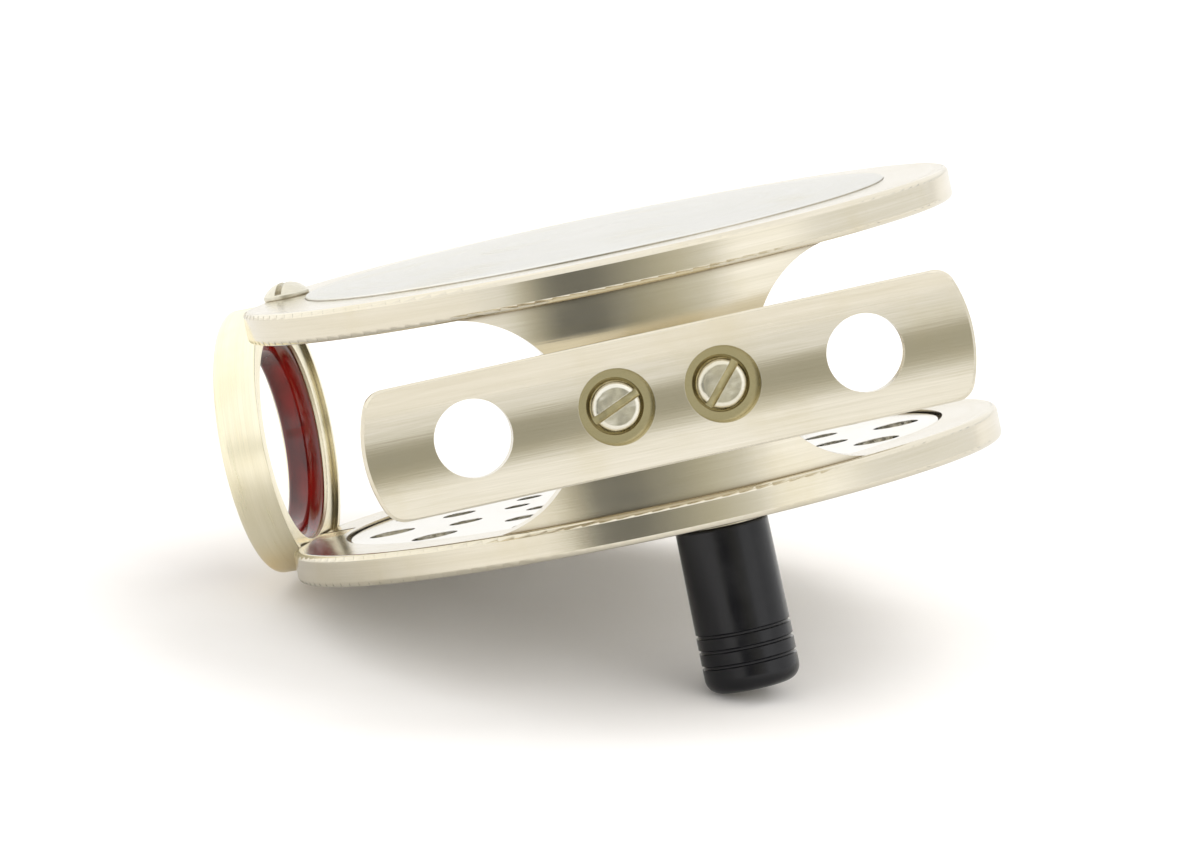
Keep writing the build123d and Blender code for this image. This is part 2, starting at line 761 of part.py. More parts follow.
with BuildPart() as handle_knob:
    with BuildSketch(handle_section) as knob_section:
        with BuildLine():
            Polyline(
                (knob_bore_r, collar_end_z - knob_gap),
                (knob_base_r, collar_end_z - knob_gap),
                (knob_tip_r, knob_swell_z),
                (knob_tip_r, knob_end_z),
                (knob_counterbore_r, knob_end_z),
                (knob_counterbore_r, knob_counterbore_z),
                (knob_bore_r, knob_counterbore_z),
                close=True,
            )
        make_face()
        fillet(knob_section.vertices().group_by(Axis.Y)[0].sort_by(Axis.X)[-1], knob_corner_r)
        fillet(knob_section.vertices().group_by(Axis.Y)[-1].sort_by(Axis.X)[-1], knob_base_round)
        for drop in knob_groove_drops:
            with Locations((knob_tip_r, knob_end_z + drop)):
                Circle(knob_groove_r, mode=Mode.SUBTRACT)
    revolve(axis=handle_axis)
handle_knob.part.label = "handle_knob"
export_step(handle_knob.part, "parts/handle_knob.step")

handle_screw_seat = Plane((handle_x, handle_y, post_end_z), x_dir=(1, 0, 0), z_dir=(0, 0, 1))
with BuildPart() as handle_screw:
    add(
        slotted_screw(
            handle_screw_seat,
            handle_screw_head_r,
            handle_screw_side,
            handle_screw_dome,
            handle_screw_crown_r,
            handle_screw_r,
            handle_screw_depth,
            handle_slot,
            handle_slot_turn,
        )
    )
handle_screw.part.label = "handle_screw"
export_step(handle_screw.part, "parts/handle_screw.step")

# ---- click mechanism ------------------------------------------------------------------
with BuildPart() as click_gear:
    with BuildSketch(Plane.XY.offset(rear_flange_z[1])):
        Circle(gear_tip_r)
        Circle(gear_bore_r, mode=Mode.SUBTRACT)
        # V-shaped gaps that leave narrow crests between them
        half_gap = gear_tip_r * math.tan(math.radians(180 / tooth_count)) - gear_crest_half
        gap_mouth_r = gear_root_r + gear_gap_flare * (gear_tip_r - gear_root_r)
        with PolarLocations(0, tooth_count, start_angle=90):
            Polygon(
                (gear_root_r, 0),
                (gap_mouth_r, gear_gap_flare * half_gap),
                (gap_mouth_r, -gear_gap_flare * half_gap),
                align=None,
                mode=Mode.SUBTRACT,
            )
        with PolarLocations(gear_screw_ring_r, gear_screw_count, start_angle=gear_screw_first_angle):
            Circle(gear_screw_r + fit_gap, mode=Mode.SUBTRACT)
    extrude(amount=gear_top_z - rear_flange_z[1])
    with BuildSketch(Plane.XY.offset(gear_top_z)):
        with PolarLocations(gear_screw_ring_r, gear_screw_count, start_angle=gear_screw_first_angle):
            Circle(gear_screw_head_r + fit_gap)
    extrude(amount=-gear_screw_head_h - head_gap, mode=Mode.SUBTRACT)
click_gear.part.label = "click_gear"
export_step(click_gear.part, "parts/click_gear.step")

gear_screw_head = Plane((0, 0, gear_top_z), x_dir=(1, 0, 0), z_dir=(0, 0, -1))
gear_screw = countersunk_screw(
    gear_screw_head, gear_screw_head_r, gear_screw_head_h, gear_screw_r, gear_screw_length
)
with BuildPart() as gear_screws:
    with PolarLocations(gear_screw_ring_r, gear_screw_count, start_angle=gear_screw_first_angle):
        add(gear_screw)
gear_screws.part.label = "gear_screws"
export_step(gear_screws.part, "parts/gear_screws.step")

with BuildPart() as click_pawl:
    with BuildSketch(Plane.XY.offset(pawl_z[0])) as pawl_outline:
        with BuildLine():
            Polyline(
                (-pawl_half_width, pawl_pivot_y),
                (0, pawl_pivot_y - pawl_reach),
                (pawl_half_width, pawl_pivot_y),
                close=True,
            )
        make_face()
        fillet(pawl_outline.vertices().sort_by(Axis.Y)[0], pawl_tip_round)
        with Locations((0, pawl_pivot_y)):
            Circle(pawl_heel_r)
            Circle(pawl_screw_r + running_gap, mode=Mode.SUBTRACT)
    extrude(amount=pawl_z[1] - pawl_z[0])
click_pawl.part.label = "click_pawl"
export_step(click_pawl.part, "parts/click_pawl.step")

for pin_name, pin_x, pin_y, pin_r, head_r in (
    ("pawl_screw", 0, pawl_pivot_y, pawl_screw_r, pawl_screw_head_r),
    ("spring_screw", spring_post_x, pawl_pivot_y + spring_post_rise, spring_post_r, spring_post_head_r),
):
    pin_plane = Plane((pin_x, pin_y, pin_head_z[0]), x_dir=(1, 0, 0), z_dir=(0, 0, 1))
    pin_length = plate_inner_z + blind_pin_depth - pin_head_z[0]
    with BuildPart() as pin:
        add(countersunk_screw(pin_plane, head_r, pin_head_z[1] - pin_head_z[0], pin_r, pin_length))
    pin.part.label = pin_name
    export_step(pin.part, f"parts/{pin_name}.step")

with BuildPart() as click_spring:
    eye_outer_r = spring_post_r + running_gap + click_spring_thick
    leaf_y = pawl_pivot_y + spring_post_rise + eye_outer_r - click_spring_thick / 2
    with BuildSketch(Plane.XY.offset(click_spring_z[0])):
        with Locations((spring_post_x, pawl_pivot_y + spring_post_rise)):
            Circle(eye_outer_r)
        with Locations(((spring_post_x + spring_free_x) / 2, leaf_y)):
            Rectangle(spring_free_x - spring_post_x, click_spring_thick)
        with Locations((spring_post_x, pawl_pivot_y + spring_post_rise)):
            Circle(spring_post_r + running_gap, mode=Mode.SUBTRACT)
    extrude(amount=click_spring_z[1] - click_spring_z[0])
click_spring.part.label = "click_spring"
export_step(click_spring.part, "parts/click_spring.step")
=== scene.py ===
"""Looks of the fly reel: procedural materials, a pale floor, soft light and the camera."""
import json
import math
from collections import namedtuple

import bpy
from mathutils import Matrix, Vector


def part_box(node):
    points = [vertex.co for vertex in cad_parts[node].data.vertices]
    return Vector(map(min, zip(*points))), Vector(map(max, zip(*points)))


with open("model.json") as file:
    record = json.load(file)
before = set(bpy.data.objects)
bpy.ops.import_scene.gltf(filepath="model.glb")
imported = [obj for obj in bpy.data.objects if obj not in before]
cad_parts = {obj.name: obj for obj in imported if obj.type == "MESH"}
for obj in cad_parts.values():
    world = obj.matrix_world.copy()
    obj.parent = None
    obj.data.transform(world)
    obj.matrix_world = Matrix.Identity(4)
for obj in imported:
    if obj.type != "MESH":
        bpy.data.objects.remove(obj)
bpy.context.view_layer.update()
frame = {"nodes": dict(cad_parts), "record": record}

MM = 0.001
nodes = frame["nodes"]
scene = bpy.context.scene
scene.view_settings.view_transform = "Standard"

X_AXIS = Vector((1, 0, 0))
Z_AXIS = Vector((0, 0, 1))


# ---- places read from the frame --------------------------------------------------------
def middle(node):
    """Centre of a CAD node's box."""
    low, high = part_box(node)
    return (low + high) / 2


def mount_axis(name):
    """Unit direction of one of the record's mounts."""
    mount = next(m for m in frame["record"]["mounts"] if m["name"] == name)
    return Vector(mount["axis"]).normalized()


guard_out = mount_axis("line_guard_bore")
guard_centre = middle("guard_agate")
handle_centre = middle("handle_knob")

# the foot's screw recesses lie around its two screws, and open towards -Y
foot_low, foot_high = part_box("foot_screws")
foot_screw_r = (foot_high.z - foot_low.z) / 2
recess_centres = (foot_low.x + foot_screw_r, foot_high.x - foot_screw_r)
recess_r = foot_screw_r + 1.4 * MM
recess_mouth_y = foot_low.y + 0.1 * MM
recess_shade_depth = 0.5 * MM  # from here inwards the recess floor's painted shade is full
screw_slot_y = foot_low.y + 0.45 * MM  # a screw's surface past this lies in its driver slot

# the reel lies on its handle tip and the edge of its front rim, so the floor is tilted;
# it is the plane z = slope_x * x + slope_y * y + drop that just touches the model
FLOOR_SLOPE_X = -0.2575
FLOOR_SLOPE_Y = 0.2148
floor_normal = Vector((-FLOOR_SLOPE_X, -FLOOR_SLOPE_Y, 1)).normalized()
floor_drop = min(
    point.co.z - FLOOR_SLOPE_X * point.co.x - FLOOR_SLOPE_Y * point.co.y
    for node in nodes.values()
    for point in node.data.vertices
)


# ---- node helpers ----------------------------------------------------------------------
# places of the colour sockets on a Mix node set to RGBA
MIX_A, MIX_B, MIX_RESULT = 6, 7, 2
BEVEL_SAMPLES = 4


def tint(colour, factors):
    """A colour with each channel scaled by its own factor."""
    return tuple(channel * factor for channel, factor in zip(colour, factors))


def opaque(colour):
    """A colour tuple with alpha 1; anything else, such as a socket, as it is."""
    return (*colour, 1) if isinstance(colour, tuple) else colour


class Graph:
    """A node tree, with short calls for the nodes that these materials need."""

    def __init__(self, tree):
        self.tree = tree
        tree.nodes.clear()

    def put(self, socket, value):
        """Link a socket to another one, or give it a plain value."""
        if isinstance(value, bpy.types.NodeSocket):
            self.tree.links.new(value, socket)
        else:
            socket.default_value = value

    def node(self, kind, **inputs):
        made = self.tree.nodes.new(kind)
        for key, value in inputs.items():
            self.put(made.inputs[key], value)
        return made

    def place(self):
        """Position in metres in the shared frame: every CAD node's origin is the frame's."""
        return self.node("ShaderNodeTexCoord").outputs["Object"]

    def math(self, operation, a, b=None):
        made = self.tree.nodes.new("ShaderNodeMath")
        made.operation = operation
        self.put(made.inputs[0], a)
        if b is not None:
            self.put(made.inputs[1], b)
        return made.outputs[0]

    def length(self, a, b):
        """Length of the vector (a, b)."""
        squares = self.math("ADD", self.math("MULTIPLY", a, a), self.math("MULTIPLY", b, b))
        return self.math("SQRT", squares)

    def vector(self, operation, a, b):
        made = self.tree.nodes.new("ShaderNodeVectorMath")
        made.operation = operation
        self.put(made.inputs[0], a)
        self.put(made.inputs[1], b)
        return made.outputs["Value" if operation == "DOT_PRODUCT" else "Vector"]

    def join(self, x, y, z):
        made = self.tree.nodes.new("ShaderNodeCombineXYZ")
        for socket, value in zip(made.inputs, (x, y, z)):
            self.put(socket, value)
        return made.outputs[0]

    def split(self, vector):
        """The x, y and z of a vector."""
        made = self.tree.nodes.new("ShaderNodeSeparateXYZ")
        self.put(made.inputs[0], vector)
        return made.outputs

    def noise(self, vector, detail, rough, scale=1.0):
        made = self.node(
            "ShaderNodeTexNoise", Vector=vector, Scale=scale, Detail=detail, Roughness=rough
        )
        return made.outputs["Fac"]

    def ramp(self, value, *stops):
        made = self.tree.nodes.new("ShaderNodeValToRGB")
        elements = made.color_ramp.elements
        while len(elements) < len(stops):
            elements.new(1.0)
        for element, (position, colour) in zip(elements, stops):
            element.position = position
            element.color = opaque(colour)
        self.put(made.inputs[0], value)
        return made.outputs["Color"]

    def remap(self, value, span, to_low=0.0, to_high=1.0, smooth=False):
        """Carry value's span onto to_low ... to_high, held at its ends."""
        made = self.tree.nodes.new("ShaderNodeMapRange")
        made.interpolation_type = "SMOOTHSTEP" if smooth else "LINEAR"
        made.inputs["From Min"].default_value, made.inputs["From Max"].default_value = span
        made.inputs["To Min"].default_value = to_low
        made.inputs["To Max"].default_value = to_high
        self.put(made.inputs["Value"], value)
        return made.outputs["Result"]

    def rise(self, value, span, top=1.0):
        """From 0 to top across value's span, eased at both ends."""
        return self.remap(value, span, 0.0, top, smooth=True)

    def fall(self, value, span):
        """From 1 to 0 across value's span, eased at both ends."""
        return self.remap(value, span, 1.0, 0.0, smooth=True)

    def mix(self, share, a, b, blend="MIX"):
        """Colour a where share is 0, b where it is 1."""
        made = self.tree.nodes.new("ShaderNodeMix")
        made.data_type = "RGBA"
        made.blend_type = blend
        self.put(made.inputs[0], share)
        self.put(made.inputs[MIX_A], opaque(a))
        self.put(made.inputs[MIX_B], opaque(b))
        return made.outputs[MIX_RESULT]

    def multiply(self, a, b):
        return self.mix(1.0, a, b, "MULTIPLY")

    def relief(self, height, strength, depth, bevel_r=None):
        """Bumped normal from a height, over edges rounded by bevel_r when it is given."""
        made = self.node("ShaderNodeBump", Strength=strength, Distance=depth, Height=height)
        if bevel_r is not None:
            bevel = self.node("ShaderNodeBevel", Radius=bevel_r)
            bevel.samples = BEVEL_SAMPLES
            self.put(made.inputs["Normal"], bevel.outputs[0])
        return made.outputs[0]

    def surface(self, colour, normal, **inputs):
        """The surface shader; inputs are its other sockets by name, with _ for a space."""
        shader = self.node("ShaderNodeBsdfPrincipled", Normal=normal)
        self.put(shader.inputs["Base Color"], colour)
        for key, value in inputs.items():
            self.put(shader.inputs[key.replace("_", " ")], value)
        self.node("ShaderNodeOutputMaterial", Surface=shader.outputs[0])


def new_material(name):
    material = bpy.data.materials.new(name)
    material.use_nodes = True
    return material, Graph(material.node_tree)


# where a point is about an axis; offset is its vector from the centre
Turned = namedtuple("Turned", "angle radius height offset")


def turned_frame(g, axis, centre):
    """Every shaded point's place about a unit axis through centre."""
    # the angle's seam falls at the back of the reel
    seam_guide = X_AXIS if abs(axis.x) < 0.9 else Z_AXIS
    side = seam_guide.cross(axis).normalized()
    up = axis.cross(side)
    offset = g.vector("SUBTRACT", g.place(), tuple(centre))
    a = g.vector("DOT_PRODUCT", offset, tuple(side))
    b = g.vector("DOT_PRODUCT", offset, tuple(up))
    height = g.vector("DOT_PRODUCT", offset, tuple(axis))
    return Turned(g.math("ARCTAN2", b, a), g.length(a, b), height, offset)


def turned_cells(g, around, cells):
    """Noise coordinates with so many cells per radian, per metre out and per metre up."""
    parts = (around.angle, around.radius, around.height)
    return g.join(*(g.math("MULTIPLY", part, count) for part, count in zip(parts, cells)))


# ---- brushed metal ---------------------------------------------------------------------
LINES_ACROSS = 7000  # brush lines per metre across the grain
LINES_ALONG = 90  # along it, on a piece brushed straight
LINES_AROUND = 60  # per radian and metre of radius, on a turned piece
COARSE_LINES = (1, 0.22, 0.22)  # width of the fine lines over that of the coarse ones
NOISE_SPAN = (0.3, 0.7)  # noise values from the darkest spot to the lightest
DARK_LINE = (0.93, 0.92, 0.87)  # of the metal's colour
LIGHT_LINE = 1.04
LINE_ROUGHNESS = 0.2  # share of its roughness that a line gains or loses

CLOUD_SCALE = 90  # noise cells per metre: clouds of stain
SPECK_SCALE = 1400  # pits
DENT_SCALE = 330  # waves left by years of screwdrivers
SPECK_HEIGHT = 0.25  # in lines' heights
DENT_HEIGHT = 50.0
RELIEF_DEPTH = 0.02 * MM
RELIEF_STRENGTH = 0.25

STAIN = (0.9, 0.86, 0.72)  # of the metal's colour
STAIN_SPAN = (0.48, 0.75)  # cloud values from clean to stained
STAIN_SHARE = 0.5
BROWN_PATCH_SPAN = (0.3, 0.6)  # cloud values across which the guard's low brown patches fill in
BROWN_PATCH_LEAST = 0.3
ROUGHER_SPAN = (0.35, 0.7)  # cloud values across which the finish dulls
CLOUD_ROUGHNESS = 0.05
SHELTER_SAMPLES = 8
# painted shade, khaki-tinted, on the floors of the foot's screw recesses: factors of the
# colour
RECESS_SHADE = (1.0, 0.97, 0.76)
# painted shade, khaki-tinted, in the foot screws' driver slots: factors of the colour
SLOT_SHADE = (0.84, 0.79, 0.58)


def brushing(g, around, axis, brush, typical_r):
    """Noise coordinates, slow along the grain and quick across it, and the grain's way."""
    if brush == "turned":
        cells = (typical_r * LINES_AROUND, LINES_ACROSS, LINES_ACROSS)
        grain_way = g.vector("CROSS_PRODUCT", tuple(axis), around.offset)
        return turned_cells(g, around, cells), grain_way
    along = g.math("MULTIPLY", around.height, LINES_ALONG)
    across = g.vector("MULTIPLY", g.place(), tuple((Vector((1, 1, 1)) - axis) * LINES_ACROSS))
    return g.vector("ADD", across, g.join(along, along, along)), g.join(*axis)


def inside_recesses(g, place):
    """1 on the floors of the foot's screw recesses, 0 elsewhere."""
    x, y, z = g.split(place)
    near = None
    for centre_x in recess_centres:
        reach = g.length(g.math("SUBTRACT", x, centre_x), z)
        inside = g.math("LESS_THAN", reach, recess_r)
        near = inside if near is None else g.math("MAXIMUM", near, inside)
    depths = (recess_mouth_y, recess_mouth_y + recess_shade_depth)
    return g.math("MULTIPLY", near, g.rise(y, depths))


def metal(
    name,
    colour,
    rough,
    brush,
    axis=Z_AXIS,
    centre=Vector(),
    typical_r=0.03,
    stretch=0.5,
    bevel=0.12,
    edge_tint=(1.0, 1.0, 1.0),
    # painted shade in corners: colour factors, reach in mm, and the occlusion values across
    # which it fades out
    corner_shade=(0.50, 0.44, 0.31),
    corner_shade_reach=0.5,
    corner_shade_span=(0.25, 0.85),
    low_brown=None,
    shade_recesses=False,
    slot_y=None,
    dented=False,
):
    """Brushed metal. brush is "turned" about axis and centre, or "straight" along axis.

    typical_r is in metres. bevel (rounding of edges) and corner_shade_reach (how far the
    painted shade in a corner spreads) are in mm. stretch is how far highlights run across the
    brush lines.
    low_brown is (full at this z, gone at this z, factors of the colour): browner towards the
    bottom.
    """
    material, g = new_material(name)
    around = turned_frame(g, axis, centre)
    place = g.place()
    lines, grain_way = brushing(g, around, axis, brush, typical_r)
    fine = g.noise(lines, detail=2.0, rough=0.6)
    coarse = g.noise(g.vector("MULTIPLY", lines, COARSE_LINES), detail=2.0, rough=0.5)
    cloud = g.noise(place, detail=4.0, rough=0.55, scale=CLOUD_SCALE)
    speck = g.noise(place, detail=2.0, rough=0.5, scale=SPECK_SCALE)
    tone = g.math("ADD", g.math("MULTIPLY", fine, 0.5), g.math("MULTIPLY", coarse, 0.5))

    light_line = tuple(min(1.0, channel * LIGHT_LINE) for channel in colour)
    body = g.mix(g.remap(tone, NOISE_SPAN), tint(colour, DARK_LINE), light_line)
    body = g.mix(g.rise(cloud, STAIN_SPAN, top=STAIN_SHARE), body, tint(colour, STAIN))
    if low_brown:
        # browner low on the piece, in patches broken up by the clouds
        full_z, clean_z, brown = low_brown
        low_down = g.fall(g.split(place)[2], (full_z, clean_z))
        patchy = g.remap(cloud, BROWN_PATCH_SPAN, BROWN_PATCH_LEAST, 1.0)
        share = g.math("MULTIPLY", low_down, patchy)
        body = g.mix(share, body, tint(colour, brown))
    # painted shade: colour darkened in corners, slots and recesses, as far as an occlusion
    # test finds them sheltered
    shelter = g.node("ShaderNodeAmbientOcclusion", Distance=corner_shade_reach * MM)
    shelter.samples = SHELTER_SAMPLES
    open_share = g.rise(shelter.outputs["AO"], corner_shade_span)
    body = g.mix(open_share, g.multiply(body, corner_shade), body)
    # painted shade, khaki-tinted, on the floors of the foot's screw recesses
    if shade_recesses:
        body = g.mix(inside_recesses(g, place), body, g.multiply(body, RECESS_SHADE))
    if slot_y is not None:
        # painted shade, khaki-tinted, on the floors of the driver slots
        in_slot = g.math("GREATER_THAN", g.split(place)[1], slot_y)
        body = g.mix(in_slot, body, g.multiply(body, SLOT_SHADE))

    low_rough, high_rough = rough * (1 - LINE_ROUGHNESS), rough * (1 + LINE_ROUGHNESS)
    line_rough = g.remap(tone, NOISE_SPAN, high_rough, low_rough)
    cloud_rough = g.remap(cloud, ROUGHER_SPAN, 0.0, CLOUD_ROUGHNESS)
    height = g.math("ADD", tone, g.math("MULTIPLY", speck, SPECK_HEIGHT))
    if dented:
        wave = g.noise(place, detail=2.0, rough=0.5, scale=DENT_SCALE)
        height = g.math("ADD", height, g.math("MULTIPLY", wave, DENT_HEIGHT))
    g.surface(
        body,
        g.relief(height, RELIEF_STRENGTH, RELIEF_DEPTH, bevel * MM),
        Metallic=1.0,
        Roughness=g.math("ADD", line_rough, cloud_rough),
        Anisotropic=stretch,
        Tangent=grain_way,
        Specular_Tint=opaque(edge_tint),
    )
    return material


NICKEL = (0.745, 0.695, 0.585)
PLATE_NICKEL = (0.80, 0.795, 0.775)
SPOOL_NICKEL = (0.86, 0.85, 0.82)
FOOT_SCREW_NICKEL = (0.80, 0.77, 0.68)
SCREW_NICKEL = (0.72, 0.69, 0.60)
BRASS = (0.95, 0.89, 0.70)
BRONZE = (0.72, 0.52, 0.28)
STEEL = (0.66, 0.65, 0.62)
DARK_STEEL = (0.42, 0.41, 0.40)
BROWNER_LOW = (0.97, 0.79, 0.47)  # of the brass's colour

frame_metal = metal(
    "frame_nickel",
    NICKEL,
    0.14,
    "turned",
    typical_r=0.037,
    stretch=0.3,
    bevel=0.05,
    # strong painted shade in the frame's corners
    corner_shade=(0.34, 0.28, 0.20),
    corner_shade_reach=0.8,
    corner_shade_span=(0.5, 0.97),
)
plate_metal = metal(
    "plate_nickel",
    PLATE_NICKEL,
    0.22,
    "turned",
    typical_r=0.02,
    stretch=0.4,
    edge_tint=(0.88, 0.88, 0.87),
)
foot_metal = metal(
    "foot_nickel",
    NICKEL,
    0.15,
    "straight",
    X_AXIS,
    stretch=0.4,
    bevel=0.06,
    # milder painted shade in the foot's corners
    corner_shade=(0.62, 0.57, 0.44),
    shade_recesses=True,
)
foot_screw_metal = metal(
    "foot_screw_nickel",
    FOOT_SCREW_NICKEL,
    0.18,
    "straight",
    X_AXIS,
    stretch=0.1,
    slot_y=screw_slot_y,
    dented=True,
)
spool_metal = metal("spool_nickel", SPOOL_NICKEL, 0.08, "turned", typical_r=0.02, stretch=0.3)
guard_metal = metal(
    "guard_brass",
    BRASS,
    0.22,
    "turned",
    guard_out,
    typical_r=0.014,
    low_brown=(-14 * MM, -9 * MM, BROWNER_LOW),
)
collar_metal = metal(
    "collar_nickel", NICKEL, 0.18, "turned", centre=handle_centre, typical_r=0.005
)
screw_metal = metal("screw_nickel", SCREW_NICKEL, 0.20, "straight", X_AXIS, stretch=0.2)
steel = metal("ground_steel", STEEL, 0.25, "turned", typical_r=0.003)
bronze = metal("turned_bronze", BRONZE, 0.28, "turned", typical_r=0.004)
dark_steel = metal("hardened_steel", DARK_STEEL, 0.3, "straight", X_AXIS)


# ---- stone and hard rubber -------------------------------------------------------------
AGATE_DEEP = (0.12, 0.012, 0.010)
AGATE_BRIGHT = (0.34, 0.012, 0.009)
AGATE_SMOKE = (0.05, 0.008, 0.007)
AGATE_SWIRLS = (1.6, 120, 180)  # noise cells per radian, per metre out and per metre up
AGATE_BANDS = 700  # noise cells per metre up
AGATE_WANDER = 0.8 * MM  # how far a swirl moves the border between bright and deep red
AGATE_BORDER = (-1.5 * MM, 0.9 * MM)  # heights along the bore from bright to deep red
BLACK_LOW = (0.004, 0.004, 0.006)
BLACK_HIGH = (0.009, 0.009, 0.011)
BLACK_LINES = (0.6, 900, 6000)  # noise cells per radian, per metre out and per metre up
SMEAR_SCALE = 260


def agate():
    """Polished red stone: brighter red at the reel side, smoky bands along the ring."""
    material, g = new_material("red_agate")
    around = turned_frame(g, guard_out, guard_centre)
    swirl = g.noise(turned_cells(g, around, AGATE_SWIRLS), detail=2.0, rough=0.5)
    along = g.math("MULTIPLY", around.angle, AGATE_SWIRLS[0])
    up = g.math("MULTIPLY", around.height, AGATE_BANDS)
    bands = g.noise(g.join(along, swirl, up), detail=3.0, rough=0.5)
    shift = g.remap(swirl, NOISE_SPAN, -AGATE_WANDER, AGATE_WANDER)
    bright = g.fall(g.math("ADD", around.height, shift), AGATE_BORDER)
    colour = g.mix(bright, AGATE_DEEP, AGATE_BRIGHT)
    smoke = g.rise(bands, (0.48, 0.72), top=0.75)
    g.surface(
        g.mix(smoke, colour, AGATE_SMOKE),
        g.relief(swirl, strength=0.04, depth=0.02 * MM),
        Roughness=0.10,
        IOR=1.54,
        Coat_Weight=0.3,
        Coat_Roughness=0.04,
        Subsurface_Weight=0.2,
        Subsurface_Scale=1.0 * MM,
    )
    return material


def black_handle():
    """Gloss black hard rubber with faint turning lines and finger smears."""
    material, g = new_material("black_handle")
    around = turned_frame(g, Z_AXIS, Vector((handle_centre.x, handle_centre.y, 0)))
    lines = g.noise(turned_cells(g, around, BLACK_LINES), detail=3.0, rough=0.6)
    smear = g.noise(g.place(), detail=4.0, rough=0.6, scale=SMEAR_SCALE)
    line_rough = g.remap(lines, NOISE_SPAN, 0.13, 0.19)
    smear_rough = g.remap(smear, (0.45, 0.7), 0.0, 0.10)
    g.surface(
        g.mix(g.remap(smear, (0.4, 0.7)), BLACK_LOW, BLACK_HIGH),
        g.relief(lines, strength=0.06, depth=0.01 * MM, bevel_r=0.1 * MM),
        Roughness=g.math("ADD", line_rough, smear_rough),
        IOR=1.43,
    )
    return material


LOOKS = {
    "frame": frame_metal,
    "back_plate": plate_metal,
    "reel_foot": foot_metal,
    "foot_screws": foot_screw_metal,
    "guard_bezel": guard_metal,
    "guard_retaining_ring": guard_metal,
    "guard_agate": agate(),
    "spool": spool_metal,
    "handle_collar": collar_metal,
    "handle_knob": black_handle(),
    "handle_post": steel,
    "spindle": steel,
    "spool_washer": bronze,
    "thrust_washer": bronze,
    "rear_bush": bronze,
    "front_bush": bronze,
    "click_gear": dark_steel,
    "click_pawl": dark_steel,
    "click_spring": dark_steel,
}
# every screw but the foot's takes the plain screw metal
for name, node in nodes.items():
    node.data.materials.clear()
    node.data.materials.append(LOOKS.get(name, screw_metal))


# ---- stage: floor, light, camera -------------------------------------------------------
FLOOR_REACH = 3.0  # how far the table top runs to the sides and back, in metres
FLOOR_FRONT = -0.31  # y of its front edge, out of the picture and short of the camera
FLOOR_DARK = (0.96, 0.938, 0.918)
FLOOR_PALE = (0.975, 0.955, 0.937)
FLOOR_MIRRORED = (0.76, 0.75, 0.735)
FLOOR_SCALE = 60

TENT_LOW = (0.97, 0.97, 0.96)
TENT_HIGH = (1.16, 1.16, 1.16)
TENT_PANEL = (1.25, 1.25, 1.24)
TENT_GLOW = (1.28, 1.28, 1.26)
GAP_EDGE = (0.56, 0.54, 0.43)
GAP_MIDDLE = (0.17, 0.17, 0.155)
WHITE = (1.0, 1.0, 1.0)

LAMP_PLACE = floor_normal * 0.8 + Vector((0.55, 0.2, 0))  # in metres
LAMP_WIDTH = 0.9
LAMP_WATTS = 5.5

# where the camera stands, seen from its target: degrees to the right of -Y, degrees above
# the rims' plane, and its roll
CAMERA_AZIMUTH, CAMERA_ELEVATION, CAMERA_ROLL = -6.3, 4.6, -11.83
CAMERA_DISTANCE = 1.0
CAMERA_TARGET = Vector((-3.37, 0, -4.45)) * MM
CAMERA_LENS = 283.8  # in mm, on a sensor 36 mm wide


def make_floor():
    """A pale table top that is clear from below, so views from there see the reel."""
    corners = (
        (-FLOOR_REACH, FLOOR_FRONT),
        (FLOOR_REACH, FLOOR_FRONT),
        (FLOOR_REACH, FLOOR_REACH),
        (-FLOOR_REACH, FLOOR_REACH),
    )
    verts = [(x, y, FLOOR_SLOPE_X * x + FLOOR_SLOPE_Y * y + floor_drop) for x, y in corners]
    mesh = bpy.data.meshes.new("floor")
    mesh.from_pydata(verts, [], [(0, 1, 2, 3)])
    floor = bpy.data.objects.new("floor", mesh)
    scene.collection.objects.link(floor)
    material, g = new_material("pale_floor")
    tone = g.noise(g.place(), detail=3.0, rough=0.5, scale=FLOOR_SCALE)
    colour = g.mix(g.remap(tone, (0.4, 0.6)), FLOOR_DARK, FLOOR_PALE)
    # mirrored in the metal the table top looks no brighter than the tent
    mirrored = g.node("ShaderNodeLightPath").outputs["Is Glossy Ray"]
    colour = g.mix(mirrored, colour, FLOOR_MIRRORED)
    paper = g.node("ShaderNodeBsdfDiffuse", Roughness=0.6, Color=colour)
    clear = g.node("ShaderNodeBsdfTransparent")
    both = g.tree.nodes.new("ShaderNodeMixShader")
    g.put(both.inputs[0], g.node("ShaderNodeNewGeometry").outputs["Backfacing"])
    g.put(both.inputs[1], paper.outputs[0])
    g.put(both.inputs[2], clear.outputs[0])
    g.node("ShaderNodeOutputMaterial", Surface=both.outputs[0])
    mesh.materials.append(material)


def bearings(start, end):
    """Azimuths to the right of -Y, from degrees to radians."""
    return math.radians(start), math.radians(end)


def heights(start, end):
    """Angles above the rims' plane, from degrees to the z of a unit direction."""
    return math.sin(math.radians(start)), math.sin(math.radians(end))


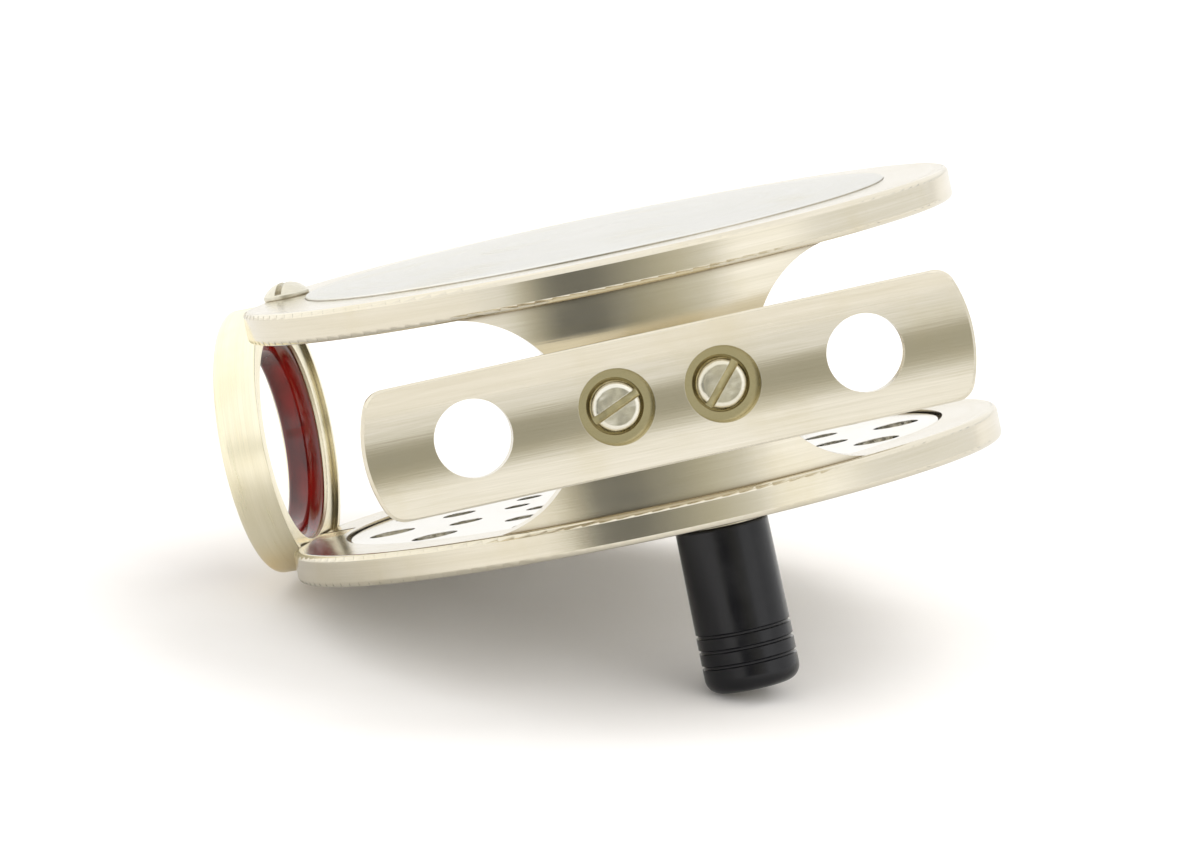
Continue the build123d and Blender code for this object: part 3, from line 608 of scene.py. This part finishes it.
def make_world():
    """White tent around the reel, with a dark gap low down where the camera stands.

    It lights the scene and the metal mirrors it. The camera itself sees plain white.
    """
    world = bpy.data.worlds.new("tent")
    scene.world = world
    world.use_nodes = True
    g = Graph(world.node_tree)
    x, y, z = g.split(g.node("ShaderNodeTexCoord").outputs["Generated"])
    azimuth = g.math("ARCTAN2", x, g.math("MULTIPLY", y, -1.0))
    left = g.rise(azimuth, bearings(-42, -21))
    right = g.remap(azimuth, bearings(-9, 37), 1.0, 0.0)
    low = g.rise(z, heights(-12.5, -8))
    high = g.fall(z, heights(1.5, 12))
    gap = g.math("MULTIPLY", g.math("MULTIPLY", left, right), g.math("MULTIPLY", low, high))
    open_tent = g.mix(g.rise(z, heights(2, 12)), TENT_LOW, TENT_HIGH)
    dark = g.ramp(gap, (0.0, TENT_LOW), (0.5, GAP_EDGE), (1.0, GAP_MIDDLE))
    tent = g.mix(g.remap(gap, (0.0, 0.15)), open_tent, dark)
    # a brighter panel to the right of the gap
    panel_start = g.rise(azimuth, bearings(27, 38))
    panel_end = g.fall(azimuth, bearings(52, 72))
    tent = g.mix(g.math("MULTIPLY", panel_start, panel_end), tent, TENT_PANEL)
    # the side of the tent behind the line guard is a little brighter
    beside = g.fall(azimuth, bearings(-80, -50))
    upper = g.rise(z, heights(0, 20))
    tent = g.mix(g.math("MULTIPLY", beside, upper), tent, TENT_GLOW)
    camera_ray = g.node("ShaderNodeLightPath").outputs["Is Camera Ray"]
    sky = g.node("ShaderNodeBackground", Strength=1.0, Color=g.mix(camera_ray, tent, WHITE))
    g.node("ShaderNodeOutputWorld", Surface=sky.outputs[0])


def make_lamp():
    """One broad soft lamp above the reel; metal mirrors the tent and not the lamp."""
    data = bpy.data.lights.new("overhead", "AREA")
    data.shape = "DISK"
    data.size = LAMP_WIDTH
    data.energy = LAMP_WATTS
    lamp = bpy.data.objects.new("overhead", data)
    lamp.location = LAMP_PLACE
    lamp.rotation_euler = (-LAMP_PLACE).to_track_quat("-Z", "Y").to_euler()
    lamp.visible_glossy = False
    scene.collection.objects.link(lamp)


def make_camera():
    """Long lens, a little above the reel, rolled as the reel leans on its handle."""
    azimuth = math.radians(CAMERA_AZIMUTH)
    elevation = math.radians(CAMERA_ELEVATION)
    roll = math.radians(CAMERA_ROLL)
    out = math.cos(elevation)
    back = Vector((math.sin(azimuth) * out, -math.cos(azimuth) * out, math.sin(elevation)))
    level_right = Vector((-back.y, back.x, 0)).normalized()
    level_up = back.cross(level_right)
    right = level_right * math.cos(roll) + level_up * math.sin(roll)
    turn = Matrix((right, back.cross(right), back)).transposed()
    place = CAMERA_TARGET + back * CAMERA_DISTANCE
    data = bpy.data.cameras.new("camera")
    data.sensor_width = 36
    data.lens = CAMERA_LENS
    data.clip_start = 0.05
    data.clip_end = 20
    camera = bpy.data.objects.new("camera", data)
    camera.matrix_world = Matrix.Translation(place) @ turn.to_4x4()
    scene.collection.objects.link(camera)
    scene.camera = camera


make_floor()
make_world()
make_lamp()
make_camera()
